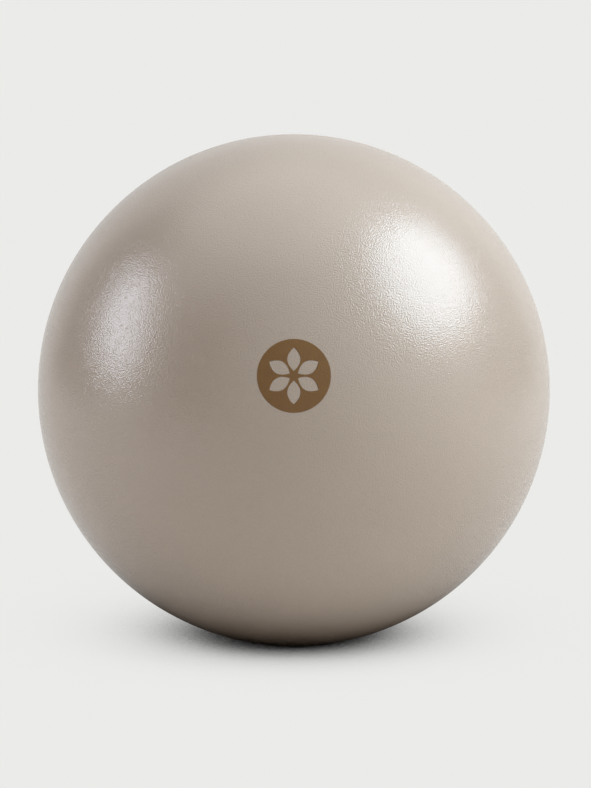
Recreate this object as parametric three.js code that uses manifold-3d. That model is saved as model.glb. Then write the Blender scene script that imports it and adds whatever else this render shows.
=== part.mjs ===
// A small inflatable pilates ball: a soft PVC skin, blown up tight, that stands on the little
// flat its own weight presses into it. A round emblem is printed on the front. At the back a
// valve seat is bonded into the skin, and a push-in plug with sealing ribs closes it.
//
// Millimetres, +Z up. The origin is the middle of the flat on the floor. The emblem faces -Y
// and the valve +Y, so the plug pulls out along +Y.
import * as THREE from "three";
import { mergeVertices } from "three/addons/utils/BufferGeometryUtils.js";
import Module from "manifold-3d";

const wasm = await Module();
wasm.setup();

// The skin
const BALL_DIAMETER = 250;
const SKIN_WALL = 0.7;
const FLAT_DIAMETER = 34; // the flat that the ball's weight presses on the floor

// The valve seat and its plug
const FIT_GAP = 0.3; // clearance between two pieces that fit together
const BORE_DIAMETER = 7;
const NECK_WALL = 2.5;
const NECK_LENGTH = 10; // from the floor of the recess to the inner end of the neck
const COLLAR_RIM = 2.7; // ring of the seat that shows round the plug's head
const FLANGE_WIDTH = 5; // how far the flange reaches under the skin
const FLANGE_THICKNESS = 1.6;
const NOTCH_WIDTH = 4; // fingernail notch beside the plug's head
const NOTCH_WALL = 0.9; // rim left outside the notch
const NOTCH_UNDERCUT = 0.4; // how far the notch dips below the floor of the recess
const HEAD_LIP = 2.5; // how far the plug's head laps over the bore
const HEAD_THICKNESS = 1.4;
const DIMPLE_DIAMETER = 3; // moulding dimple in the middle of the head
const DIMPLE_DEPTH = 0.4;
const RIB_HEIGHT = 0.4; // sealing ribs on the plug's stem
const RIB_WIDTH = 1.2;
const RIB_COUNT = 3;
const STEM_OVERHANG = 2; // stem that shows past the inner end of the neck
const STEM_WALL = 1.2; // the stem is hollow from its inner end
const STEM_ROOF = 1; // solid stem between that hollow and the head
const TIP_CHAMFER = 0.8;

// The printed emblem
const EMBLEM_DIAMETER = 34;
const EMBLEM_TILT = 12; // degrees that its middle sits above the ball's widest line
const INK_THICKNESS = 0.15;
const INK_GAP = 0.1; // clearance between the ink and the skin under it
const PETAL_COUNT = 6; // petals of bare skin left in the print
const ROSETTE_HUB = 2.2; // ink from the emblem's middle to the petals' inner tips
const EMBLEM_BORDER = 4; // ink from the petals' outer tips to the edge
const PETAL_GAP = 2.4; // ink between two petals where they are widest

// How finely round shapes are divided
const SKIN_SIDES = 60;
const SKIN_RINGS = 30; // half of them below the widest line
const VALVE_SIDES = 36;
const FACE_STEPS = 3;
const EMBLEM_SIDES = 48;
const EMBLEM_RINGS = 6;
const PETAL_STEPS = 8;

const MERGE_DISTANCE = 1e-3;
const CUT_MARGIN = 5; // how far a cutting shape reaches past what it cuts

// Worked out from the sizes above
const ballRadius = BALL_DIAMETER / 2;
const innerRadius = ballRadius - SKIN_WALL;
const centreHeight = Math.sqrt(ballRadius ** 2 - (FLAT_DIAMETER / 2) ** 2);

const boreRadius = BORE_DIAMETER / 2;
const neckRadius = boreRadius + NECK_WALL;
const headRadius = boreRadius + HEAD_LIP;
const recessRadius = headRadius + FIT_GAP;
const collarRadius = recessRadius + COLLAR_RIM;
const flangeRadius = collarRadius + FLANGE_WIDTH;
const holeRadius = collarRadius + FIT_GAP;
const ribRadius = boreRadius - FIT_GAP;
const stemRadius = ribRadius - RIB_HEIGHT;

// Places along the valve's axis, measured from the ball's middle
const recessFloor = onSphere(ballRadius, recessRadius) - HEAD_THICKNESS - FIT_GAP;
const headUnderside = recessFloor + FIT_GAP;
const neckEnd = recessFloor - NECK_LENGTH;
const stemEnd = neckEnd - STEM_OVERHANG;

// Height of a sphere's surface above its middle, at a distance out from the axis.
function onSphere(radius, out) {
  return Math.sqrt(radius ** 2 - out ** 2);
}

// How far a flat facet of the divided sphere dips under the true round.
function facetDip(radius) {
  const around = 1 - Math.cos(Math.PI / SKIN_SIDES);
  const along = 1 - Math.cos(Math.PI / (2 * SKIN_RINGS));
  return radius * (around + along);
}

// Values from one end to the other, both ends included.
function evenSteps(from, to, steps) {
  return Array.from({ length: steps + 1 }, (_, i) => THREE.MathUtils.lerp(from, to, i / steps));
}

// Profile points on a sphere, from one distance out from the axis to another.
function sphereArc(radius, fromOut, toOut, steps) {
  return evenSteps(fromOut, toOut, steps).map(
    (out) => new THREE.Vector2(out, onSphere(radius, out)),
  );
}

// A closed geometry as a solid that can be joined and cut.
function solidOf(geometry) {
  const bare = geometry.clone();
  bare.deleteAttribute("normal");
  bare.deleteAttribute("uv");
  const merged = mergeVertices(bare, MERGE_DISTANCE);
  const mesh = new wasm.Mesh({
    numProp: 3,
    vertProperties: merged.attributes.position.array,
    triVerts: new Uint32Array(merged.index.array),
  });
  return new wasm.Manifold(mesh);
}

function geometryOf(solid) {
  const { vertProperties, triVerts } = solid.getMesh();
  const geometry = new THREE.BufferGeometry();
  geometry.setAttribute("position", new THREE.BufferAttribute(vertProperties, 3));
  geometry.setIndex(new THREE.BufferAttribute(triVerts, 1));
  geometry.computeVertexNormals();
  return geometry;
}

// A ball standing on a flat at the given height, turned about the upright axis. One ring of
// its facets lies on the widest line.
function flattenedBall(radius, flatHeight) {
  const flatAngle = Math.asin((flatHeight - centreHeight) / radius);
  const angles = [
    ...evenSteps(flatAngle, 0, SKIN_RINGS / 2).slice(0, -1),
    ...evenSteps(0, Math.PI / 2, SKIN_RINGS / 2).slice(0, -1),
  ];
  const profile = [
    new THREE.Vector2(0, flatHeight),
    ...angles.map((angle) => {
      const height = centreHeight + radius * Math.sin(angle);
      return new THREE.Vector2(radius * Math.cos(angle), height);
    }),
    new THREE.Vector2(0, centreHeight + radius),
  ];
  return new THREE.LatheGeometry(profile, SKIN_SIDES).rotateX(Math.PI / 2);
}

// The skin: the inner ball taken out of the outer one, and a round hole for the valve seat.
function ballSkin() {
  const outside = solidOf(flattenedBall(ballRadius, 0));
  const inside = solidOf(flattenedBall(innerRadius, SKIN_WALL));
  const reach = ballRadius - neckEnd + CUT_MARGIN;
  const hole = new THREE.CylinderGeometry(holeRadius, holeRadius, reach, VALVE_SIDES);
  hole.translate(0, ballRadius + CUT_MARGIN - reach / 2, centreHeight);
  return geometryOf(outside.subtract(inside).subtract(solidOf(hole)));
}

// The valve seat: collar, flange under the skin, neck and bore, with a fingernail notch.
function valveBush() {
  const flangeTop = innerRadius - facetDip(innerRadius) - FIT_GAP;
  const flangeBottom = flangeTop - FLANGE_THICKNESS;
  const profile = [
    new THREE.Vector2(boreRadius, neckEnd),
    new THREE.Vector2(neckRadius, neckEnd),
    ...sphereArc(flangeBottom, neckRadius, flangeRadius, FACE_STEPS),
    ...sphereArc(flangeTop, flangeRadius, collarRadius, FACE_STEPS),
    ...sphereArc(ballRadius, collarRadius, recessRadius, FACE_STEPS),
    new THREE.Vector2(recessRadius, recessFloor),
    new THREE.Vector2(boreRadius, recessFloor),
    new THREE.Vector2(boreRadius, neckEnd),
  ];
  const seat = solidOf(new THREE.LatheGeometry(profile, VALVE_SIDES));

  const notchRadius = NOTCH_WIDTH / 2;
  const notchFloor = recessFloor - NOTCH_UNDERCUT;
  const notchHeight = ballRadius + CUT_MARGIN - notchFloor;
  const notch = new THREE.CylinderGeometry(notchRadius, notchRadius, notchHeight, VALVE_SIDES);
  const notchOut = collarRadius - NOTCH_WALL - notchRadius;
  notch.translate(0, notchFloor + notchHeight / 2, notchOut);
  return geometryOf(seat.subtract(solidOf(notch)));
}

// One sealing rib, as three profile points round its middle.
function ribPoints(middle) {
  return [
    new THREE.Vector2(stemRadius, middle - RIB_WIDTH / 2),
    new THREE.Vector2(ribRadius, middle),
    new THREE.Vector2(stemRadius, middle + RIB_WIDTH / 2),
  ];
}

// The plug: a head that lies flush in the seat's recess, and a hollow stem with sealing ribs.
function valvePlug() {
  const hollowRadius = stemRadius - STEM_WALL;
  const hollowRoof = headUnderside - STEM_ROOF;
  const ribPitch = NECK_LENGTH / (RIB_COUNT + 1);
  const ribs = Array.from({ length: RIB_COUNT }, (_, i) => ribPoints(neckEnd + ribPitch * (i + 1)));
  const profile = [
    new THREE.Vector2(0, hollowRoof),
    new THREE.Vector2(hollowRadius, hollowRoof),
    new THREE.Vector2(hollowRadius, stemEnd),
    new THREE.Vector2(stemRadius - TIP_CHAMFER, stemEnd),
    new THREE.Vector2(stemRadius, stemEnd + TIP_CHAMFER),
    ...ribs.flat(),
    new THREE.Vector2(stemRadius, headUnderside),
    new THREE.Vector2(headRadius, headUnderside),
    ...sphereArc(ballRadius, headRadius, DIMPLE_DIAMETER / 2, FACE_STEPS),
    new THREE.Vector2(0, ballRadius - DIMPLE_DEPTH),
  ];
  return new THREE.LatheGeometry(profile, VALVE_SIDES);
}

// One petal of the emblem, pointing along +Y, cut by two curves that meet at its tips.
function petal() {
  const innerTip = ROSETTE_HUB;
  const outerTip = EMBLEM_DIAMETER / 2 - EMBLEM_BORDER;
  const middle = (innerTip + outerTip) / 2;
  const share = Math.PI / PETAL_COUNT;
  const halfWidth = middle * Math.tan(share) - PETAL_GAP / (2 * Math.cos(share));
  const shape = new THREE.Shape();
  shape.moveTo(0, innerTip);
  shape.quadraticCurveTo(2 * halfWidth, middle, 0, outerTip);
  shape.quadraticCurveTo(-2 * halfWidth, middle, 0, innerTip);
  return shape;
}

// The emblem: a round cap of ink just above the skin, about the +Y axis through the ball's
// middle, with a rosette of petals left bare.
function emblemPrint() {
  const underside = ballRadius + INK_GAP;
  const face = underside + INK_THICKNESS;
  const edge = EMBLEM_DIAMETER / 2;
  const profile = [
    ...sphereArc(underside, 0, edge, EMBLEM_RINGS),
    ...sphereArc(face, edge, 0, EMBLEM_RINGS),
  ];
  let ink = solidOf(new THREE.LatheGeometry(profile, EMBLEM_SIDES));

  const cutDepth = face - onSphere(underside, edge) + 2 * CUT_MARGIN;
  for (let i = 0; i < PETAL_COUNT; i++) {
    const cut = new THREE.ExtrudeGeometry(petal(), {
      depth: cutDepth,
      bevelEnabled: false,
      curveSegments: PETAL_STEPS,
    });
    cut.rotateZ((2 * Math.PI * i) / PETAL_COUNT);
    cut.rotateX(-Math.PI / 2);
    cut.translate(0, face + CUT_MARGIN - cutDepth, 0);
    ink = ink.subtract(solidOf(cut));
  }
  return geometryOf(ink);
}

function piece(name, geometry, colour, roughness) {
  const material = new THREE.MeshStandardMaterial({ color: colour, roughness, metalness: 0 });
  const mesh = new THREE.Mesh(geometry, material);
  mesh.name = name;
  return mesh;
}

// The valve's axis already runs along +Y, so its group only rises to the ball's middle.
const valve = new THREE.Group();
valve.position.z = centreHeight;
valve.add(piece("valve_bush", valveBush(), "#a3968a", 0.5));
valve.add(piece("valve_plug", valvePlug(), "#d9d2c8", 0.4));

// The emblem's axis turns from +Y over the top to the front, and stops short by its tilt.
const emblem = new THREE.Group();
emblem.position.z = centreHeight;
emblem.rotation.x = Math.PI - THREE.MathUtils.degToRad(EMBLEM_TILT);
emblem.add(piece("emblem_print", emblemPrint(), "#73573a", 0.5));

const ball = new THREE.Group();
ball.name = "pilates_ball";
ball.add(piece("ball_skin", ballSkin(), "#a79b8e", 0.5));
ball.add(valve);
ball.add(emblem);

export default ball;
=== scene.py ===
# %% [markdown]
# # A small pilates ball
# This lesson dresses a small inflatable exercise ball. The solids of the ball, its valve and
# its printed emblem are already there at their real size, in metres, with the front at -Y and
# the floor at z = 0. We keep their places and give them fine surfaces, real materials and the
# soft light of a studio.

# %% Load the solids
import math

import bmesh
import bpy
from mathutils import Matrix, Vector


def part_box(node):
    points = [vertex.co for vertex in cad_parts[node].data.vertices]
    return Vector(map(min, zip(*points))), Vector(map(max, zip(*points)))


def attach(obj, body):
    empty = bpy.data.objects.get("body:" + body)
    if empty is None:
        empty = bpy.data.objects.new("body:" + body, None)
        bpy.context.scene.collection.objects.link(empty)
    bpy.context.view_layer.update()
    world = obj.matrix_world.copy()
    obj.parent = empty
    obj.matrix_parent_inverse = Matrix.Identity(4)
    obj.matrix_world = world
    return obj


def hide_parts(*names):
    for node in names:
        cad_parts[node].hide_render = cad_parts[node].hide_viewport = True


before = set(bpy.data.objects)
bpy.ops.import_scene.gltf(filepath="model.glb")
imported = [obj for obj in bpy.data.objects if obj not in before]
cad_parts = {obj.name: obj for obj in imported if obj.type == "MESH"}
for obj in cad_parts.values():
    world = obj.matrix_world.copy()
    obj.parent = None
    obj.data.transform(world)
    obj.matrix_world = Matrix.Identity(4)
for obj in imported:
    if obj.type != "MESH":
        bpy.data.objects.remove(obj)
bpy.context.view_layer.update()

print("pieces:", sorted(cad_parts))

# %% [markdown]
# ## Sizes that everything follows
# The ball's radius and middle can be read off its solid: the widest line gives the radius, and
# the top gives the middle, because the bottom is pressed flat. Reading them here, rather than
# typing them, keeps every later piece in step with the solids.

# %% Read the ball's size
MM = 0.001

skin_low, skin_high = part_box("ball_skin")
ball_radius = (skin_high.x - skin_low.x) / 2
ball_middle = Vector((0, 0, skin_high.z - ball_radius))
flat_radius = math.sqrt(ball_radius**2 - ball_middle.z**2)
print(f"ball radius {ball_radius / MM:.2f} mm, on a flat of {flat_radius / MM:.2f} mm radius")

# %% [markdown]
# ## The camera
# The ball fills the photograph as a circle, so the circle's middle and radius in pixels fix the
# lens and the aim once the distance is chosen. The camera stands a little above the ball: the
# shade on the floor shows below it as a low ellipse, and that gives the height. A long lens
# from well back is used, as for product pictures, so the ball's near side isn't blown up.

# %% Place the camera
PHOTO_WIDTH, PHOTO_HEIGHT = 591, 788
BALL_IN_PHOTO = (293.9, 390.0)  # pixels, from the top left
BALL_RADIUS_IN_PHOTO = 256.0  # pixels
CAMERA_DISTANCE = 2.0
CAMERA_ELEVATION = math.radians(9)

camera_data = bpy.data.cameras.new("product_camera")
camera = bpy.data.objects.new("product_camera", camera_data)
bpy.context.scene.collection.objects.link(camera)
bpy.context.scene.camera = camera

edge_slope = ball_radius / math.sqrt(CAMERA_DISTANCE**2 - ball_radius**2)
pixels_per_slope = BALL_RADIUS_IN_PHOTO / edge_slope
camera_data.lens = pixels_per_slope * camera_data.sensor_width / PHOTO_HEIGHT

to_camera = Vector((0, -math.cos(CAMERA_ELEVATION), math.sin(CAMERA_ELEVATION)))
camera_right = Vector((1, 0, 0))
camera_up = to_camera.cross(camera_right)
metres_per_pixel = CAMERA_DISTANCE / pixels_per_slope
aim = (
    ball_middle
    + camera_right * (PHOTO_WIDTH / 2 - BALL_IN_PHOTO[0]) * metres_per_pixel
    - camera_up * (PHOTO_HEIGHT / 2 - BALL_IN_PHOTO[1]) * metres_per_pixel
)
camera.location = ball_middle + to_camera * CAMERA_DISTANCE
camera.rotation_mode = "QUATERNION"
camera.rotation_quaternion = (aim - camera.location).to_track_quat("-Z", "Y")
print(f"lens {camera_data.lens:.1f} mm")

# %% [markdown]
# ## Helpers for materials
# A colour that is given as hex is an sRGB value, while a shader wants linear light, so one
# function turns a hex colour into linear numbers. Another adds a node to a tree: it sets the
# node's own settings, then fills its inputs, with a link where it is given another node's
# output and a plain value where it isn't. The third starts a material with an empty tree.


# %% Helpers for colours and nodes
def linear(hex_colour):
    channels = [int(hex_colour[i : i + 2], 16) / 255 for i in (1, 3, 5)]
    return [c / 12.92 if c <= 0.04045 else ((c + 0.055) / 1.055) ** 2.4 for c in channels] + [1.0]


def add_node(tree, kind, inputs=None, **settings):
    node = tree.nodes.new(kind)
    for name, value in settings.items():
        setattr(node, name, value)
    for name, value in (inputs or {}).items():
        if isinstance(value, bpy.types.NodeSocket):
            tree.links.new(value, node.inputs[name])
        else:
            node.inputs[name].default_value = value
    return node


def new_material(name):
    material = bpy.data.materials.new(name)
    material.use_nodes = True
    material.node_tree.nodes.clear()
    return material, material.node_tree


print("half grey in linear light:", round(linear("#808080")[0], 3))

# %% [markdown]
# ## The grain of the skin
# The mould that shapes the skin is etched with a fine leather grain: short wrinkles, a little
# over a millimetre from one to the next, that run in ever changing directions. They are far too
# fine to model on a whole ball, so they are a bump. A Noise texture alone gives lumps of many
# widths. Take the same noise a short step aside and subtract it: what is wider than the step
# cancels, and what is left are wrinkles that lie across the step. A slower noise turns the step
# this way and that. The skin and the ink printed on it both use this.

# %% The wrinkles of the grain
LUMP_WIDTH = 0.75 * MM
WRINKLE_STEP = 0.56 * MM  # half of the way from one wrinkle to the next
TURN_WIDTH = 4 * MM  # over which the wrinkles change their direction


def leather_wrinkles(tree, place):
    """The height of the wrinkles at a place, 0 half way up."""
    turning = add_node(
        tree, "ShaderNodeTexNoise", {"Vector": place, "Scale": 1 / TURN_WIDTH, "Detail": 0.0}
    ).outputs["Color"]
    centred = add_node(
        tree, "ShaderNodeVectorMath", {0: turning, 1: (0.5, 0.5, 0.5)}, operation="SUBTRACT"
    ).outputs[0]
    across = add_node(tree, "ShaderNodeVectorMath", {0: centred}, operation="NORMALIZE").outputs[0]
    aside = add_node(
        tree,
        "ShaderNodeVectorMath",
        {0: across, 1: (WRINKLE_STEP,) * 3, 2: place},
        operation="MULTIPLY_ADD",
    ).outputs[0]
    here, beside = [
        add_node(
            tree, "ShaderNodeTexNoise", {"Vector": spot, "Scale": 1 / LUMP_WIDTH, "Detail": 0.0}
        ).outputs["Fac"]
        for spot in (place, aside)
    ]
    return add_node(tree, "ShaderNodeMath", {0: here, 1: beside}, operation="SUBTRACT").outputs[0]


print(f"grain: a wrinkle every {2 * WRINKLE_STEP / MM:.2f} mm")

# %% [markdown]
# A Bump node turns heights into tilted light. Two are chained: a blown-up skin is never quite
# even, so the first tilts it by faint swells, and the second adds the wrinkles on top of them.

# %% The bump of the grain
GRAIN_RELIEF = 0.095 * MM
SWELL_WIDTH = 14 * MM
SWELL_RELIEF = 0.05 * MM


def grained_normal(tree, place, wrinkles, relief):
    swell = add_node(
        tree, "ShaderNodeTexNoise", {"Vector": place, "Scale": 1 / SWELL_WIDTH, "Detail": 0.0}
    ).outputs["Fac"]
    slow = add_node(tree, "ShaderNodeBump", {"Height": swell, "Distance": SWELL_RELIEF})
    fine = add_node(
        tree,
        "ShaderNodeBump",
        {"Height": wrinkles, "Distance": relief, "Normal": slow.outputs["Normal"]},
    )
    return fine.outputs["Normal"]


print(f"relief {GRAIN_RELIEF / MM:.3f} mm, over swells {SWELL_WIDTH / MM:.0f} mm wide")

# %% [markdown]
# ## Soft PVC with a leather grain
# The skin is plasticised PVC, coloured a warm grey-beige right through. Its surface copies the
# etched mould, so it is neither glossy nor chalky: a lamp shows as a milky patch whose edge
# breaks up into glints where the wrinkles turn. PVC has an IOR of about 1.53, which also gives
# the pale rim where we look along the surface. With one roughness alone a patch would end too
# soon. The softener in such a skin leaves a faint haze on it, so a coat that is much rougher
# than the skin spreads a little of each patch further out. The colour drifts very slightly over
# a few centimetres, as the liquid plastic ran in the mould. The creases are painted darker, as
# shade that falls in them.

# %% The colour of the skin
SKIN_COLOUR = "#9E8F81"
SKIN_SHADE = "#998A7C"
# The crease colour is painted shade: the creases of the wrinkles are darkened where shade falls in
# them.
CREASE_PAINTED_SHADE = "#7D7163"
CREASE_BOTTOM = -0.3  # height of the deepest wrinkles
CREASE_SHADE_SHARE = 0.12  # share of the crease colour down there


def skin_tint_and_crease_shade(tree, wrinkles, mottle):
    drifted = add_node(
        tree,
        "ShaderNodeMix",
        {0: mottle, 6: linear(SKIN_COLOUR), 7: linear(SKIN_SHADE)},
        data_type="RGBA",
    ).outputs[2]
    # Painted shade: the deeper the wrinkle, the more of the crease colour is mixed in.
    painted_crease_shade = add_node(
        tree,
        "ShaderNodeMapRange",
        {"Value": wrinkles, "From Min": 0.0, "From Max": CREASE_BOTTOM, "To Max": CREASE_SHADE_SHARE},
    ).outputs[0]
    return add_node(
        tree,
        "ShaderNodeMix",
        {0: painted_crease_shade, 6: drifted, 7: linear(CREASE_PAINTED_SHADE)},
        data_type="RGBA",
    ).outputs[2]


print("skin in linear light:", [round(c, 3) for c in linear(SKIN_COLOUR)[:3]])

# %% Material: soft PVC skin
PVC_IOR = 1.53
MOTTLE_WIDTH = 45 * MM
MOTTLE_LOW, MOTTLE_HIGH = 0.3, 0.7  # nearly all of the noise lies between these
SKIN_SMOOTH, SKIN_ROUGH = 0.20, 0.23
HAZE_WEIGHT = 0.4
HAZE_ROUGHNESS = 0.6


def soft_pvc_skin():
    material, tree = new_material("soft_pvc_leather_grained")
    place = add_node(tree, "ShaderNodeTexCoord").outputs["Object"]
    wrinkles = leather_wrinkles(tree, place)
    normal = grained_normal(tree, place, wrinkles, GRAIN_RELIEF)
    mottle = add_node(
        tree, "ShaderNodeTexNoise", {"Vector": place, "Scale": 1 / MOTTLE_WIDTH, "Detail": 3.0}
    ).outputs["Fac"]
    roughness = add_node(
        tree,
        "ShaderNodeMapRange",
        {
            "Value": mottle,
            "From Min": MOTTLE_LOW,
            "From Max": MOTTLE_HIGH,
            "To Min": SKIN_SMOOTH,
            "To Max": SKIN_ROUGH,
        },
    ).outputs[0]
    shader = add_node(
        tree,
        "ShaderNodeBsdfPrincipled",
        {
            "Base Color": skin_tint_and_crease_shade(tree, wrinkles, mottle),
            "Roughness": roughness,
            "IOR": PVC_IOR,
            "Normal": normal,
            "Coat Weight": HAZE_WEIGHT,
            "Coat Roughness": HAZE_ROUGHNESS,
            "Coat Normal": normal,
        },
    )
    add_node(tree, "ShaderNodeOutputMaterial", {"Surface": shader.outputs[0]})
    return material


skin_material = soft_pvc_skin()
print("made", skin_material.name)

# %% [markdown]
# ## Screen-printed ink
# The emblem is brown ink pushed through a screen onto the finished skin. It could be mixed into
# the skin's own material, but as a piece of its own it keeps a crisp edge from close by. The
# film is thin enough to follow the grain, only a little softened, and it dries with a slightly
# uneven depth of colour.

# %% Material: printed ink
INK_COLOUR = "#6C4A1C"
INK_DEEP = "#60421A"
INK_MOTTLE_WIDTH = 4 * MM
INK_GRAIN = 0.7  # share of the skin's relief that shows through the film
INK_ROUGHNESS = 0.4
INK_IOR = 1.5


def printed_ink():
    material, tree = new_material("screen_printed_ink")
    place = add_node(tree, "ShaderNodeTexCoord").outputs["Object"]
    wrinkles = leather_wrinkles(tree, place)
    normal = grained_normal(tree, place, wrinkles, INK_GRAIN * GRAIN_RELIEF)
    depth = add_node(
        tree, "ShaderNodeTexNoise", {"Vector": place, "Scale": 1 / INK_MOTTLE_WIDTH, "Detail": 4.0}
    ).outputs["Fac"]
    colour = add_node(
        tree,
        "ShaderNodeMix",
        {0: depth, 6: linear(INK_COLOUR), 7: linear(INK_DEEP)},
        data_type="RGBA",
    ).outputs[2]
    shader = add_node(
        tree,
        "ShaderNodeBsdfPrincipled",
        {"Base Color": colour, "Roughness": INK_ROUGHNESS, "IOR": INK_IOR, "Normal": normal},
    )
    add_node(tree, "ShaderNodeOutputMaterial", {"Surface": shader.outputs[0]})
    return material


ink_material = printed_ink()
print("made", ink_material.name)

# %% [markdown]
# ## Moulded valve materials
# The valve seat is the same soft PVC, moulded in a smooth steel tool, so it is plainer than the
# skin. The plug is polyethylene: waxy, off-white, with the faint flow marks that moulding
# leaves. A flat colour would look like a drawing, so the flow marks shift the colour and the
# gloss, and the marks of the tool give a trace of relief. Both parts need the same few nodes,
# so one function makes them.

# %% Materials: valve seat and plug
FLOW_WIDTH = 3 * MM
FLOW_SWIRL = 1.5
FLOW_ROUGHNESS = 0.04  # by which the flow marks raise and lower the roughness
TOOL_MARK_WIDTH = 0.4 * MM
TOOL_MARK_RELIEF = 0.01 * MM
POLYETHYLENE_IOR = 1.51


def moulded(name, colour, shade, roughness, ior):
    material, tree = new_material(name)
    place = add_node(tree, "ShaderNodeTexCoord").outputs["Object"]
    flow = add_node(
        tree,
        "ShaderNodeTexNoise",
        {"Vector": place, "Scale": 1 / FLOW_WIDTH, "Detail": 2.0, "Distortion": FLOW_SWIRL},
    ).outputs["Fac"]
    tint = add_node(
        tree,
        "ShaderNodeMix",
        {0: flow, 6: linear(colour), 7: linear(shade)},
        data_type="RGBA",
    ).outputs[2]
    marks = add_node(
        tree, "ShaderNodeTexNoise", {"Vector": place, "Scale": 1 / TOOL_MARK_WIDTH, "Detail": 2.0}
    ).outputs["Fac"]
    bump = add_node(tree, "ShaderNodeBump", {"Height": marks, "Distance": TOOL_MARK_RELIEF})
    smooth, rough = roughness - FLOW_ROUGHNESS, roughness + FLOW_ROUGHNESS
    gloss = add_node(
        tree, "ShaderNodeMapRange", {"Value": flow, "To Min": smooth, "To Max": rough}
    ).outputs[0]
    shader = add_node(
        tree,
        "ShaderNodeBsdfPrincipled",
        {"Base Color": tint, "Roughness": gloss, "IOR": ior, "Normal": bump.outputs["Normal"]},
    )
    add_node(tree, "ShaderNodeOutputMaterial", {"Surface": shader.outputs[0]})
    return material


seat_material = moulded(
    "soft_pvc_smooth_moulded", colour="#8F857A", shade="#867C71", roughness=0.34, ior=PVC_IOR
)
plug_material = moulded(
    "polyethylene_moulded", colour="#D3CBBF", shade="#CBC2B4", roughness=0.4, ior=POLYETHYLENE_IOR
)
print("made", seat_material.name, "and", plug_material.name)

# %% [markdown]
# ## Turning a profile
# The skin, the valve seat and the plug are all round about one line: the valve's axis, which
# runs along +Y through the ball's middle. Blender can spin a curve with a modifier, but rings
# of points that we lay out ourselves can be moved afterwards, for the flat and the notch. So
# each piece is a profile, a list of distances out from that line and along it, turned into
# rings. Where the profile meets the axis the shape closes with a fan, and where it ends where
# it began the last ring is the first.


# %% A helper that turns profiles
def turned_mesh(name, profile, sides):
    """Profile points are (out, along) from the ball's middle."""
    closed = profile[0] == profile[-1]
    rings, points = [], []
    for out, along in profile[:-1] if closed else profile:
        count = 1 if out == 0 else sides
        rings.append(range(len(points), len(points) + count))
        for i in range(count):
            turn = 2 * math.pi * i / sides
            offset = Vector((out * math.sin(turn), along, out * math.cos(turn)))
            points.append(ball_middle + offset)
    faces = []
    for a, b in zip(rings, rings[1:] + rings[:1] if closed else rings[1:]):
        for i in range(sides):
            j = (i + 1) % sides
            if len(a) == 1:
                faces.append((a[0], b[j], b[i]))
            elif len(b) == 1:
                faces.append((a[i], a[j], b[0]))
            else:
                faces.append((a[i], a[j], b[j], b[i]))
    mesh = bpy.data.meshes.new(name)
    mesh.from_pydata(points, [], faces)
    return mesh


def place_piece(name, mesh, material, body, node):
    """Puts a finished mesh into the scene in the place of its solid."""
    mesh.shade_smooth()
    mesh.materials.append(material)
    piece = bpy.data.objects.new(name, mesh)
    bpy.context.scene.collection.objects.link(piece)
    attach(piece, body)
    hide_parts(node)
    print(f"{name}: {len(mesh.vertices)} points, {len(mesh.polygons)} faces")
    return piece


print(f"the axis lies {ball_middle.z / MM:.1f} mm above the floor")

# %% [markdown]
# ## The skin
# One profile makes the whole skin: from the front of the ball round the outside to the hole for
# the valve, over the hole's rounded edge, and back along the inside. A plain sphere would have
# no wall and no hole. Where the two halves of the mould met, a hair-thin line stands up all
# round, half way between front and valve, so the profile gets extra points there.

# %% The outside of the skin
OUTER_RINGS = 160
MOULD_LINE_HEIGHT = 0.08 * MM
MOULD_LINE_WIDTH = 0.6 * MM
MOULD_LINE_STEPS = (-2, -1, -0.6, -0.3, 0, 0.3, 0.6, 1, 2)  # in line widths


def on_arc(radius, angle):
    """A profile point; angle 0 is the front of the ball and pi the valve."""
    return radius * math.sin(angle), -radius * math.cos(angle)


def line_height(angle):
    """How far the mould line stands up: a smooth ridge, about one line width across."""
    widths_off = (angle - math.pi / 2) * ball_radius / MOULD_LINE_WIDTH
    return MOULD_LINE_HEIGHT * math.exp(-((2 * widths_off) ** 2))


def skin_outside(end):
    line = [math.pi / 2 + s * MOULD_LINE_WIDTH / ball_radius for s in MOULD_LINE_STEPS]
    step = end / OUTER_RINGS
    even = [step * i for i in range(1, OUTER_RINGS + 1)]
    clear = [a for a in even if not line[0] - step / 2 < a < line[-1] + step / 2]
    angles = sorted(clear + line)
    return [(0, -ball_radius)] + [on_arc(ball_radius + line_height(a), a) for a in angles]


print(f"mould line {MOULD_LINE_HEIGHT / MM:.2f} mm high, {MOULD_LINE_WIDTH / MM:.1f} mm wide")

# %% The whole profile of the skin
SKIN_WALL = 0.7 * MM
HOLE_RADIUS = 9.3 * MM
INNER_RINGS = 40
EDGE_STEPS = 6


def skin_profile():
    """The whole profile, and how many of its points are on the outside."""
    rim = SKIN_WALL / 2
    end = math.pi - math.asin((HOLE_RADIUS + rim) / (ball_radius - rim))
    outside = skin_outside(end)
    rim_out, rim_along = on_arc(ball_radius - rim, end)
    edge = []
    for i in range(1, EDGE_STEPS):
        turn = end - math.pi / 2 + math.pi * i / EDGE_STEPS
        edge.append((rim_out + rim * math.cos(turn), rim_along + rim * math.sin(turn)))
    inner_radius = ball_radius - SKIN_WALL
    inside = [on_arc(inner_radius, end * (1 - i / INNER_RINGS)) for i in range(INNER_RINGS)]
    return outside + edge + inside + [(0, -inner_radius)], len(outside) + len(edge) // 2


profile, outer_count = skin_profile()
print(f"skin profile of {len(profile)} points, {outer_count} of them outside")

# %% [markdown]
# The ball's own weight presses a small flat where it stands. Every point that would be under
# the floor is brought up to it, and just above it the skin leaves the floor in a short curve,
# as a blown-up skin does.

# %% The skin itself
SKIN_SIDES = 256
FLAT_BLEND = 0.35 * MM  # height over which the skin leaves the floor


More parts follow.
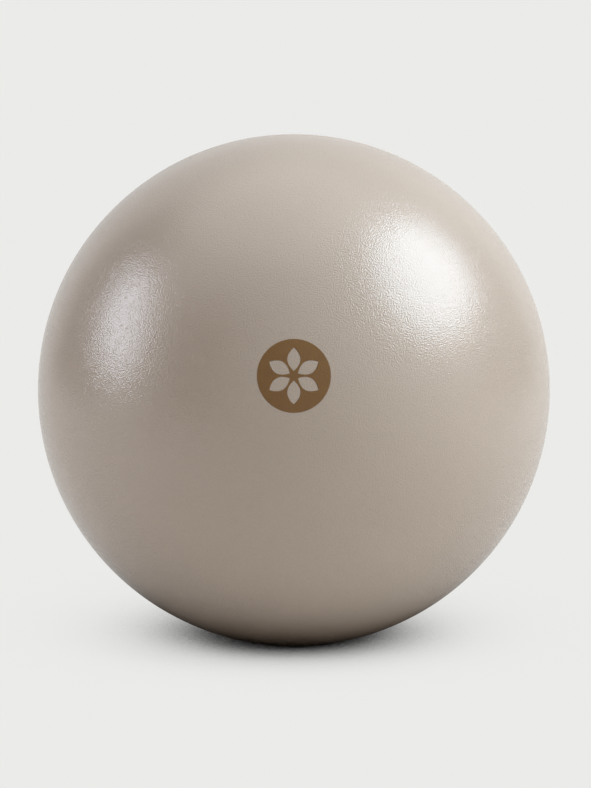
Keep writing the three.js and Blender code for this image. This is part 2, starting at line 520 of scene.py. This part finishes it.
def lifted(height, ground):
    """A height that never sinks under the ground and leaves it in a smooth curve."""
    above = height - ground
    if above >= FLAT_BLEND:
        return height
    if above <= -FLAT_BLEND:
        return ground
    return ground + (above + FLAT_BLEND) ** 2 / (4 * FLAT_BLEND)


skin_mesh = turned_mesh("skin", profile, SKIN_SIDES)
for point in skin_mesh.vertices:
    ring = (point.index + SKIN_SIDES - 1) // SKIN_SIDES  # ring 0 is the single front point
    point.co.z = lifted(point.co.z, 0 if ring < outer_count else SKIN_WALL)
print(sum(point.co.z == 0 for point in skin_mesh.vertices), "points lie on the floor")

# %% [markdown]
# For a game engine the grain can be baked into a picture that is wrapped round the ball, so the
# skin needs a flat map. A ball can't be laid flat without stretching, but seen as a dice it
# nearly can: each of six sides gets its own square, and the angles from the side's middle are
# the two coordinates. The inside, which nobody sees, shares one thin strip.

# %% A flat map of the skin
STRIP = 0.05  # share of the map for the inside of the skin
STRIP_FILL = 0.9  # share of the strip that the inside fills
SIDE_FILL = 0.96  # share of its square that a side of the dice fills


def map_outside(mesh, face, layer):
    axis = max(range(3), key=lambda k: abs((face.center - ball_middle)[k]))
    across, upward = [k for k in range(3) if k != axis]
    far = (face.center - ball_middle)[axis] > 0
    for corner in face.loop_indices:
        towards = mesh.vertices[mesh.loops[corner].vertex_index].co - ball_middle
        u = SIDE_FILL * math.atan2(towards[across], abs(towards[axis])) / (math.pi / 2)
        v = SIDE_FILL * math.atan2(towards[upward], abs(towards[axis])) / (math.pi / 2)
        row = (far + 0.5 + v) / 2
        layer.uv[corner].vector = ((axis + 0.5 + u) / 3, STRIP + (1 - STRIP) * row)


def map_inside(mesh, face, layer, side):
    for corner in face.loop_indices:
        towards = mesh.vertices[mesh.loops[corner].vertex_index].co - ball_middle
        depth = math.acos(max(-1, min(1, towards.y / towards.length))) / math.pi
        turn = math.atan2(towards.x, towards.z) / (2 * math.pi) % 1
        if side == SKIN_SIDES - 1 and turn < 0.5:
            turn = 1  # the last face ends at the strip's right edge, not back at its left
        layer.uv[corner].vector = (turn, STRIP * STRIP_FILL * depth)


flat_map = skin_mesh.uv_layers.new(name="OFBake")
for face in skin_mesh.polygons:
    ring, side = divmod(face.index, SKIN_SIDES)
    if ring < outer_count:
        map_outside(skin_mesh, face, flat_map)
    else:
        map_inside(skin_mesh, face, flat_map, side)
place_piece("skin", skin_mesh, skin_material, "ball", "ball_skin")

# %% [markdown]
# ## Rounded edges for the valve
# Moulded edges are never knife sharp, and a rounded edge catches a thin line of light. A Bevel
# modifier would round all edges alike. Here the valve's profiles are given as corners, each
# with the radius of its own rounding, and one helper puts an arc into every corner. A radius of
# 0 keeps the corner as it is.

# %% A helper that rounds corners
ROUND_STEPS = 5


def rounded(corners):
    """Corners are (out, along, radius) round a loop. Each becomes an arc between its straights."""
    points = []
    for before, corner, after in zip(corners[-1:] + corners, corners, corners[1:] + corners[:1]):
        tip, radius = Vector(corner[:2]), corner[2]
        if radius == 0:
            points.append(tuple(tip))
            continue
        back = (Vector(before[:2]) - tip).normalized()
        ahead = (Vector(after[:2]) - tip).normalized()
        half_angle = back.angle(ahead) / 2
        middle = tip + (back + ahead).normalized() * radius / math.sin(half_angle)
        start = tip + back * radius / math.tan(half_angle) - middle
        end = tip + ahead * radius / math.tan(half_angle) - middle
        for i in range(ROUND_STEPS + 1):
            spoke = start.lerp(end, i / ROUND_STEPS).normalized()
            points.append(tuple(middle + spoke * radius))
    return points


print("a rounded corner gets", len(rounded([(0, 0, 1), (9, 0, 0), (0, 9, 0)])) - 2, "points")

# %% [markdown]
# Three more helpers serve the small pieces. One says where the ball's round lies at a distance
# from the axis, one spaces values evenly, and one lets the flat faces keep their own shading,
# so that only the rounded edges bend the light.

# %% Helpers for the small pieces
FLAT_FACE_WEIGHT = 80  # at 50 no face is favoured, above it the large faces are


def on_ball(out, depth=0.0):
    """How far along the axis a sphere lies at a distance out from it, at a depth under the skin."""
    return math.sqrt((ball_radius - depth) ** 2 - out**2)


def steps_between(start, end, count):
    """Evenly spaced values inside a stretch, without its ends."""
    return [start + (end - start) * i / (count + 1) for i in range(1, count + 1)]


def crisp(piece):
    piece.modifiers.new("crisp_edges", "WEIGHTED_NORMAL").weight = FLAT_FACE_WEIGHT


print("a third and two thirds:", [round(v, 2) for v in steps_between(0, 1, 2)])

# %% [markdown]
# ## The valve seat
# The seat is a bush of soft PVC, welded into the hole in the skin: a collar flush with the
# ball, a flange that lies under the skin, and a neck with the bore that points inwards. The
# plug's head lies in a round recess in the collar. The photograph shows the other side of the
# ball, so this is the usual valve of such a ball. It is turned from one closed profile, whose
# main sizes are read from the solids.

# %% The sizes of the valve seat
FIT_GAP = 0.3 * MM
NECK_LENGTH = 10 * MM

seat_low, seat_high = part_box("valve_bush")
plug_low, plug_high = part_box("valve_plug")
flange_radius = seat_high.x
collar_radius = HOLE_RADIUS - FIT_GAP
head_radius = plug_high.x
recess_radius = head_radius + FIT_GAP
neck_end = seat_low.y
recess_floor = neck_end + NECK_LENGTH
print(f"flange radius {flange_radius / MM:.1f} mm, recess radius {recess_radius / MM:.1f} mm")

# %% The profile of the valve seat
BORE_RADIUS = 3.5 * MM
NECK_RADIUS = 6 * MM
FLANGE_THICKNESS = 1.6 * MM
SOFT_EDGE = 0.3 * MM
FLANGE_EDGE = 0.6 * MM
FLANGE_RINGS = 3
COLLAR_RINGS = 4
RECESS_RINGS = 8
SEAT_SIDES = 180


def seat_profile():
    top = SKIN_WALL + FIT_GAP
    bottom = top + FLANGE_THICKNESS
    under_flange = steps_between(NECK_RADIUS, flange_radius, FLANGE_RINGS)
    over_flange = steps_between(flange_radius, collar_radius, FLANGE_RINGS)
    collar_face = steps_between(collar_radius, recess_radius, COLLAR_RINGS)
    recess_face = steps_between(recess_radius, BORE_RADIUS, RECESS_RINGS)
    corners = [
        (BORE_RADIUS, neck_end, SOFT_EDGE),
        (NECK_RADIUS, neck_end, SOFT_EDGE),
        (NECK_RADIUS, on_ball(NECK_RADIUS, bottom), FLANGE_EDGE),
        *[(out, on_ball(out, bottom), 0) for out in under_flange],
        (flange_radius, on_ball(flange_radius, bottom), FLANGE_EDGE),
        (flange_radius, on_ball(flange_radius, top), FLANGE_EDGE),
        *[(out, on_ball(out, top), 0) for out in over_flange],
        (collar_radius, on_ball(collar_radius, top), SOFT_EDGE),
        (collar_radius, on_ball(collar_radius), SOFT_EDGE),
        *[(out, on_ball(out), 0) for out in collar_face],
        (recess_radius, on_ball(recess_radius), SOFT_EDGE),
        (recess_radius, recess_floor, SOFT_EDGE),
        *[(out, recess_floor, 0) for out in recess_face],
        (BORE_RADIUS, recess_floor, SOFT_EDGE),
    ]
    loop = rounded(corners)
    return loop + loop[:1]


seat_mesh = turned_mesh("valve_seat", seat_profile(), SEAT_SIDES)
print(f"valve seat of {len(seat_mesh.polygons)} faces, before its notch")

# %% [markdown]
# A notch beside the head lets a fingernail under it. A cut would leave ragged triangles, so the
# rings are pulled aside instead: where the notch's circle reaches past the recess, the points
# of the recess move out to that circle and those of the collar close up behind it. Inside the
# circle the floor sinks a little, with a soft edge.

# %% The fingernail notch
NOTCH_RADIUS = 2 * MM
NOTCH_WALL = 0.9 * MM
NOTCH_DEPTH = 0.4 * MM
NOTCH_SLOPE = 0.4 * MM

notch_out = collar_radius - NOTCH_WALL - NOTCH_RADIUS


def notch_edge(turn):
    """How far out the recess reaches at a turn from the top, where the notch is."""
    sideways = notch_out * math.sin(turn)
    if math.cos(turn) < 0 or abs(sideways) >= NOTCH_RADIUS:
        return recess_radius
    reach = notch_out * math.cos(turn) + math.sqrt(NOTCH_RADIUS**2 - sideways**2)
    return max(recess_radius, reach)


def pulled_aside(out, edge):
    """Where a distance out goes when the edge of the recess is drawn out to here."""
    if out <= recess_radius:
        share = (out - BORE_RADIUS) / (recess_radius - BORE_RADIUS)
        return BORE_RADIUS + share * (edge - BORE_RADIUS)
    share = (collar_radius - out) / (collar_radius - recess_radius)
    return collar_radius - share * (collar_radius - edge)


def notched(point):
    """Where a point of the seat goes, measured from the ball's middle."""
    out, turn = math.hypot(point.x, point.z), math.atan2(point.x, point.z)
    if point.y < recess_floor - SOFT_EDGE or not BORE_RADIUS < out < collar_radius:
        return point
    moved = pulled_aside(out, notch_edge(turn))
    height = (point.y - recess_floor) / (on_ball(out) - recess_floor)
    fall = max(0.0, height) * (on_ball(moved) - on_ball(out))
    place = Vector((moved * math.sin(turn), point.y + fall, moved * math.cos(turn)))
    inwards = NOTCH_RADIUS - math.hypot(place.x, place.z - notch_out)
    soft = max(0.0, min(1.0, inwards / NOTCH_SLOPE))
    place.y -= NOTCH_DEPTH * soft * soft * (3 - 2 * soft) * (1 - max(0.0, height))
    return place


for point in seat_mesh.vertices:
    point.co = ball_middle + notched(point.co - ball_middle)
crisp(place_piece("valve_seat", seat_mesh, seat_material, "ball", "valve_bush"))

# %% [markdown]
# ## The plug
# The plug is pushed into the bore and held by three sealing ribs on its stem. Its head lies
# flush with the ball and follows its round. A little dimple in the middle of the head is where
# the mould pushed it out, and the stem is hollow from its inner end, so that it can give. Ribs
# could be rings of their own, but the plug is moulded in one shot, so it is one profile. Real
# ribs press on the bore. These stop just short of it, so that the pieces stay clear.

# %% Ribs and dimple of the plug
STEM_RADIUS = 2.8 * MM
RIB_HEIGHT = 0.4 * MM
RIB_HALF_WIDTH = 0.6 * MM
DIMPLE_RADIUS = 1.5 * MM
DIMPLE_DEPTH = 0.4 * MM
FINE_EDGE = 0.15 * MM


def rib(middle):
    return [
        (STEM_RADIUS, middle - RIB_HALF_WIDTH, FINE_EDGE),
        (STEM_RADIUS + RIB_HEIGHT, middle, FINE_EDGE),
        (STEM_RADIUS, middle + RIB_HALF_WIDTH, FINE_EDGE),
    ]


def in_dimple(out):
    return on_ball(out) - DIMPLE_DEPTH * (1 - (out / DIMPLE_RADIUS) ** 2)


rib_gap = BORE_RADIUS - STEM_RADIUS - RIB_HEIGHT
print(f"the ribs stop {rib_gap / MM:.1f} mm short of the bore")

# %% The plug
HOLLOW_RADIUS = 1.6 * MM
STEM_ROOF = 1 * MM
TIP_CHAMFER = 0.8 * MM
RIB_COUNT = 3
HEAD_RINGS = 4
DIMPLE_RINGS = 3
DIMPLE_BOWL = 0.75  # share of the dimple's radius that its rounded edge leaves
PLUG_SIDES = 96


def plug_profile():
    stem_end = plug_low.y
    head_underside = recess_floor + FIT_GAP
    hollow_roof = head_underside - STEM_ROOF
    head_face = steps_between(head_radius, DIMPLE_RADIUS, HEAD_RINGS)
    bowl = steps_between(DIMPLE_BOWL * DIMPLE_RADIUS, 0, DIMPLE_RINGS)
    corners = [
        (0, hollow_roof, 0),
        (HOLLOW_RADIUS, hollow_roof, SOFT_EDGE),
        (HOLLOW_RADIUS, stem_end, FINE_EDGE),
        (STEM_RADIUS - TIP_CHAMFER, stem_end, FINE_EDGE),
        (STEM_RADIUS, stem_end + TIP_CHAMFER, SOFT_EDGE),
    ]
    for height in steps_between(neck_end, recess_floor, RIB_COUNT):
        corners += rib(height)
    corners += [
        (STEM_RADIUS, head_underside, SOFT_EDGE),
        (head_radius, head_underside, SOFT_EDGE),
        (head_radius, on_ball(head_radius), SOFT_EDGE),
        *[(out, on_ball(out), 0) for out in head_face],
        (DIMPLE_RADIUS, on_ball(DIMPLE_RADIUS), SOFT_EDGE),
        *[(out, in_dimple(out), 0) for out in bowl],
        (0, in_dimple(0), 0),
    ]
    return rounded(corners)


plug_mesh = turned_mesh("plug", plug_profile(), PLUG_SIDES)
crisp(place_piece("plug", plug_mesh, plug_material, "plug", "valve_plug"))

# %% [markdown]
# ## The printed emblem
# The emblem is a film of ink only a few hundredths of a millimetre thick, so it has no edge to
# speak of, but it is still a piece of its own: a round sheet that lies on the ball, with six
# petals left bare. Cutting petals out of a disc would leave ragged edges. So the sheet is laid
# out in rings round its middle and in six sectors, each from one petal to the next, and along
# the petals a ring stops where the petal begins.

# %% Rings of the emblem
PETAL_COUNT = 6
ROSETTE_HUB = 2.2 * MM  # ink between the emblem's middle and the petals
EMBLEM_BORDER = 4 * MM  # ink outside the petals
PETAL_GAP = 2.4 * MM  # ink between two petals
HUB_RINGS = 3
PETAL_RINGS = 24
BORDER_RINGS = 5

emblem_low, emblem_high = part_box("emblem_print")
emblem_radius = (emblem_high.x - emblem_low.x) / 2


def emblem_rings():
    """Each ring is its distance out and half of the angle that a petal leaves bare."""
    petal_end = emblem_radius - EMBLEM_BORDER
    middle = (ROSETTE_HUB + petal_end) / 2
    half_sector = math.pi / PETAL_COUNT
    half_width = middle * math.tan(half_sector) - PETAL_GAP / (2 * math.cos(half_sector))
    rings = [(ROSETTE_HUB * i / HUB_RINGS, 0.0) for i in range(HUB_RINGS)]
    for i in range(PETAL_RINGS + 1):
        share = i / PETAL_RINGS
        along = ROSETTE_HUB + share * (petal_end - ROSETTE_HUB)
        across = 4 * half_width * share * (1 - share)
        rings.append((math.hypot(along, across), math.atan2(across, along)))
    for i in range(1, BORDER_RINGS + 1):
        rings.append((petal_end + EMBLEM_BORDER * i / BORDER_RINGS, 0.0))
    return rings


rings = emblem_rings()
print(f"emblem: {len(rings)} rings out to {rings[-1][0] / MM:.1f} mm")

# %% [markdown]
# Each sector becomes a grid of faces on the ball. Merging points that share a place joins the
# sectors where the ink runs through and closes the middle. A Solidify modifier then gives the
# sheet its thickness.

# %% The emblem itself
EMBLEM_TILT = math.radians(12)  # how far its middle sits above the ball's widest line
SECTOR_STEPS = 14
INK_LIFT = 0.01 * MM
INK_THICKNESS = 0.05 * MM
SAME_PLACE = 0.001 * MM

emblem_out = Vector((0, -math.cos(EMBLEM_TILT), math.sin(EMBLEM_TILT)))
emblem_right = Vector((1, 0, 0))
emblem_up = emblem_out.cross(emblem_right)


def on_emblem(out, turn):
    sideways = emblem_right * math.sin(turn) + emblem_up * math.cos(turn)
    return ball_middle + emblem_out * on_ball(out, -INK_LIFT) + sideways * out


def emblem_mesh():
    sheet = bmesh.new()
    sector = 2 * math.pi / PETAL_COUNT
    for number in range(PETAL_COUNT):
        grid = []
        for out, bare in rings:
            turns = [bare + (sector - 2 * bare) * i / SECTOR_STEPS for i in range(SECTOR_STEPS + 1)]
            grid.append([sheet.verts.new(on_emblem(out, number * sector + t)) for t in turns])
        for inner, outer in zip(grid, grid[1:]):
            for i in range(SECTOR_STEPS):
                sheet.faces.new((inner[i], inner[i + 1], outer[i + 1], outer[i]))
    bmesh.ops.remove_doubles(sheet, verts=sheet.verts, dist=SAME_PLACE)
    mesh = bpy.data.meshes.new("emblem")
    sheet.to_mesh(mesh)
    sheet.free()
    return mesh


emblem = place_piece("emblem", emblem_mesh(), ink_material, "ball", "emblem_print")
film = emblem.modifiers.new("film", "SOLIDIFY")
film.thickness = INK_THICKNESS
film.offset = 1
crisp(emblem)

# %% [markdown]
# ## What the camera sees of the studio
# The photograph has one even pale grey behind and under the ball, with no horizon. In a studio
# that takes a lit backdrop. Here the floor and the world show the camera that pale grey
# directly, and so they do in reflections, while every other ray finds plain surfaces that give
# the ball its light. A Light Path node tells the rays apart.

# %% Rays that see the backdrop
STUDIO_PALE = "#EBEBE9"


def seen_directly(tree):
    """1 for rays that see the backdrop itself: from the camera, mirrored or through glass."""
    ray = add_node(tree, "ShaderNodeLightPath").outputs
    seen = add_node(
        tree,
        "ShaderNodeMath",
        {0: ray["Is Camera Ray"], 1: ray["Is Glossy Ray"]},
        operation="MAXIMUM",
    ).outputs[0]
    return add_node(
        tree, "ShaderNodeMath", {0: seen, 1: ray["Is Transmission Ray"]}, operation="MAXIMUM"
    ).outputs[0]


print("backdrop in linear light:", [round(c, 3) for c in linear(STUDIO_PALE)[:3]])

# %% [markdown]
# ## The shade on the floor
# All that the photograph shows on the floor is a soft dark patch where the ball shuts out the
# light from above. Lamps could cast it, but each lamp casts a shadow of its own. Ambient
# Occlusion measures just what is wanted: how much of the sky over a point is hidden. The sky is
# brightest towards the camera and a little to the right, so the measuring leans that way. A
# power and a gain turn the hidden share into darkness. For the camera the darkness fades
# steeply away from the ball. In the ball's gloss, and in the light that the floor throws back
# at it, the darkness reaches further out, so these have a lower power.

# %% Light that is left on the floor
SKY_LEAN = (0.05, -0.34, 0.94)
SKY_REACH = 1.0
SHADE_POWER = 5.0
BOUNCE_POWER = 1.9
SHADE_GAIN = 2.4


def light_on_floor(tree):
    """The share of the light that the ball leaves on the floor."""
    lean = add_node(tree, "ShaderNodeCombineXYZ", dict(enumerate(SKY_LEAN))).outputs[0]
    open_sky = add_node(
        tree, "ShaderNodeAmbientOcclusion", {"Distance": SKY_REACH, "Normal": lean}
    ).outputs["AO"]
    hidden = add_node(
        tree, "ShaderNodeMath", {0: 1.0, 1: open_sky}, operation="SUBTRACT"
    ).outputs[0]
    from_camera = add_node(tree, "ShaderNodeLightPath").outputs["Is Camera Ray"]
    power = add_node(
        tree, "ShaderNodeMix", {0: from_camera, 2: BOUNCE_POWER, 3: SHADE_POWER}
    ).outputs[0]
    steep = add_node(tree, "ShaderNodeMath", {0: hidden, 1: power}, operation="POWER").outputs[0]
    shade = add_node(
        tree, "ShaderNodeMath", {0: steep, 1: SHADE_GAIN}, operation="MULTIPLY", use_clamp=True
    ).outputs[0]
    return add_node(tree, "ShaderNodeMath", {0: 1.0, 1: shade}, operation="SUBTRACT").outputs[0]


print(f"with half of the sky hidden, the shade is {SHADE_GAIN * 0.5**SHADE_POWER:.3f}")

# %% [markdown]
# ## Matte paper
# The floor is a roll of matte paper that runs on far past the picture. The camera sees it as
# the pale backdrop, darkened by the shade. To the ball it is a sheet that throws light back.
# Under the ball that light has come off the ball itself, so in the shade the paper is brown
# rather than black: this is what keeps the ball's underside warm.

# %% Material: matte paper
PAPER_COLOUR = "#EEE8E1"
SHADED_PAPER = "#5A4632"


def matte_paper():
    material, tree = new_material("matte_paper")
    light_left = light_on_floor(tree)
    shown = add_node(
        tree, "ShaderNodeEmission", {"Color": linear(STUDIO_PALE), "Strength": light_left}
    )
    lit_paper = add_node(
        tree,
        "ShaderNodeMix",
        {0: light_left, 6: linear(SHADED_PAPER), 7: linear(PAPER_COLOUR)},
        data_type="RGBA",
    ).outputs[2]
    bounce = add_node(tree, "ShaderNodeBsdfDiffuse", {"Color": lit_paper})
    surface = add_node(
        tree,
        "ShaderNodeMixShader",
        {0: seen_directly(tree), 1: bounce.outputs[0], 2: shown.outputs[0]},
    )
    add_node(tree, "ShaderNodeOutputMaterial", {"Surface": surface.outputs[0]})
    return material


paper_material = matte_paper()
print("made", paper_material.name)

# %% The floor
FLOOR_REACH = 14.0


def stage_sheet(name, corners, material):
    """A flat sheet of the studio, which is no part of the ball."""
    mesh = bpy.data.meshes.new(name)
    mesh.from_pydata(corners, [], [(0, 1, 2, 3)])
    mesh.materials.append(material)
    sheet = bpy.data.objects.new(name, mesh)
    bpy.context.scene.collection.objects.link(sheet)
    return sheet


quarters = [(-1, -1), (1, -1), (1, 1), (-1, 1)]
floor_corners = [(FLOOR_REACH * x, FLOOR_REACH * y, 0) for x, y in quarters]
stage_sheet("studio_floor", floor_corners, paper_material)
print(f"floor of {2 * FLOOR_REACH:.0f} m")

# %% [markdown]
# ## The light all round
# White walls and reflectors send soft light from many sides. On the ball in the photograph it
# looks strongest from the right and the front, and weakest from the back on the left. So the
# world is a dome whose strength follows the direction: full where the dome leans, and falling
# to nothing on the opposite side. A picture of a real studio could be wrapped round the scene
# instead, but one direction and one power are easier to match and to read.

# %% The world
DOME_LEAN = (0.80, -0.54, 0.26)
DOME_FALL = 2.0
DOME_BRIGHT = 0.95


def studio_world():
    world = bpy.data.worlds.new("studio")
    world.use_nodes = True
    tree = world.node_tree
    tree.nodes.clear()
    direction = add_node(tree, "ShaderNodeTexCoord").outputs["Generated"]
    towards = add_node(
        tree, "ShaderNodeVectorMath", {0: direction, 1: DOME_LEAN}, operation="DOT_PRODUCT"
    ).outputs["Value"]
    near = add_node(tree, "ShaderNodeMapRange", {"Value": towards, "From Min": -1.0}).outputs[0]
    fallen = add_node(tree, "ShaderNodeMath", {0: near, 1: DOME_FALL}, operation="POWER").outputs[0]
    strength = add_node(
        tree, "ShaderNodeMath", {0: fallen, 1: DOME_BRIGHT}, operation="MULTIPLY"
    ).outputs[0]
    dome = add_node(tree, "ShaderNodeBackground", {"Strength": strength, "Color": (1, 1, 1, 1)})
    backdrop = add_node(tree, "ShaderNodeBackground", {"Color": linear(STUDIO_PALE)})
    surface = add_node(
        tree,
        "ShaderNodeMixShader",
        {0: seen_directly(tree), 1: dome.outputs[0], 2: backdrop.outputs[0]},
    )
    add_node(tree, "ShaderNodeOutputWorld", {"Surface": surface.outputs[0]})
    return world


bpy.context.scene.world = studio_world()
print(f"dome of strength {DOME_BRIGHT} at its brightest")

# %% [markdown]
# ## Three softboxes
# The two milky patches on the ball are the mirror images of two softboxes: a large one on the
# right and a smaller one on the left. A mirror turns our line of sight by twice its own tilt.
# Where the patches lie the ball is tilted by about 40 degrees, so both lamps stand almost
# beside it. They are slightly cool, because the patches are greyer than the skin. A third, weak
# one fills the top. Each lamp is placed by angles from the camera's line and faces the ball.

# %% Softboxes
LAMP_DISTANCE = 1.2


def softbox(name, off_axis, round_axis, spin, length, width, radiance, colour="#FFFFFF"):
    """Angles in degrees: off the camera's line, round it from the right, and of the long side."""
    off_axis, round_axis, spin = map(math.radians, (off_axis, round_axis, spin))
    sideways = camera_right * math.cos(round_axis) + camera_up * math.sin(round_axis)
    away = sideways * math.sin(off_axis) + to_camera * math.cos(off_axis)
    along = sideways * math.cos(off_axis) - to_camera * math.sin(off_axis)
    long_side = along * math.cos(spin) + away.cross(along) * math.sin(spin)

    lamp = bpy.data.lights.new(name, "AREA")
    lamp.shape = "ELLIPSE"
    lamp.size, lamp.size_y = length, width
    lamp.color = linear(colour)[:3]
    area = math.pi / 4 * length * width
    lamp.energy = radiance * math.pi * area
    lamp_object = bpy.data.objects.new(name, lamp)
    bpy.context.scene.collection.objects.link(lamp_object)
    lamp_object.location = ball_middle + away * LAMP_DISTANCE
    lamp_object.rotation_mode = "QUATERNION"
    turn = Matrix((long_side, away.cross(long_side), away)).transposed()
    lamp_object.rotation_quaternion = turn.to_quaternion()
    lamp_object.visible_camera = False
    print(f"{name}: {lamp.energy:.1f} W")


softbox(
    "softbox_right",
    off_axis=79.5,
    round_axis=40.7,
    spin=22.8,
    length=1.14,
    width=0.90,
    radiance=8.75,
    colour="#E6F4FF",
)
softbox(
    "softbox_left",
    off_axis=85.5,
    round_axis=158.5,
    spin=22,
    length=0.49,
    width=0.86,
    radiance=7.6,
    colour="#EEF4FF",
)
softbox("softbox_top", off_axis=85, round_axis=95, spin=0, length=1.4, width=1.4, radiance=0.8)

# %% [markdown]
# ## Dark cards round the ball
# A glossy thing shows what stands round it. Between a lamp's patch and the pale rim, the ball
# in the photograph is darker on both sides, and so it is between the left patch and the emblem.
# It looks as if it mirrored something dark there. Photographers set up dark cards, called
# flags, to draw the shape of a glossy thing. Two stand beside the ball, a little to the back,
# and one in front on the left. Only mirrored rays see them, so they take no light from the ball
# and show in its gloss alone.

# %% Flags
FLAG_DISTANCE = 1.7
FLAG_COLOUR = "#202020"

card_material, card_tree = new_material("black_card")
card_shader = add_node(card_tree, "ShaderNodeBsdfDiffuse", {"Color": linear(FLAG_COLOUR)})
add_node(card_tree, "ShaderNodeOutputMaterial", {"Surface": card_shader.outputs[0]})


def flag(name, degrees_round, width, height):
    """A card that stands on the floor and faces the ball, turned round from the camera's side."""
    around = math.radians(degrees_round)
    foot = Vector((math.sin(around), -math.cos(around), 0)) * FLAG_DISTANCE
    half = Vector((math.cos(around), math.sin(around), 0)) * width / 2
    top = Vector((0, 0, height))
    corners = [foot - half, foot + half, foot + half + top, foot - half + top]
    card = stage_sheet(name, corners, card_material)
    card.visible_camera = False
    card.visible_diffuse = False
    card.visible_shadow = False
    print(f"{name}: {width} x {height} m")


flag("flag_left", -112, width=1.4, height=2.0)
flag("flag_right", 112, width=1.4, height=2.0)
flag("flag_front", -46, width=1.1, height=1.7)

# %% [markdown]
# ## Finish
# The colours are meant to show as they were picked, so the picture is kept in the plain
# Standard view.

# %% Finish
bpy.context.scene.view_settings.view_transform = "Standard"
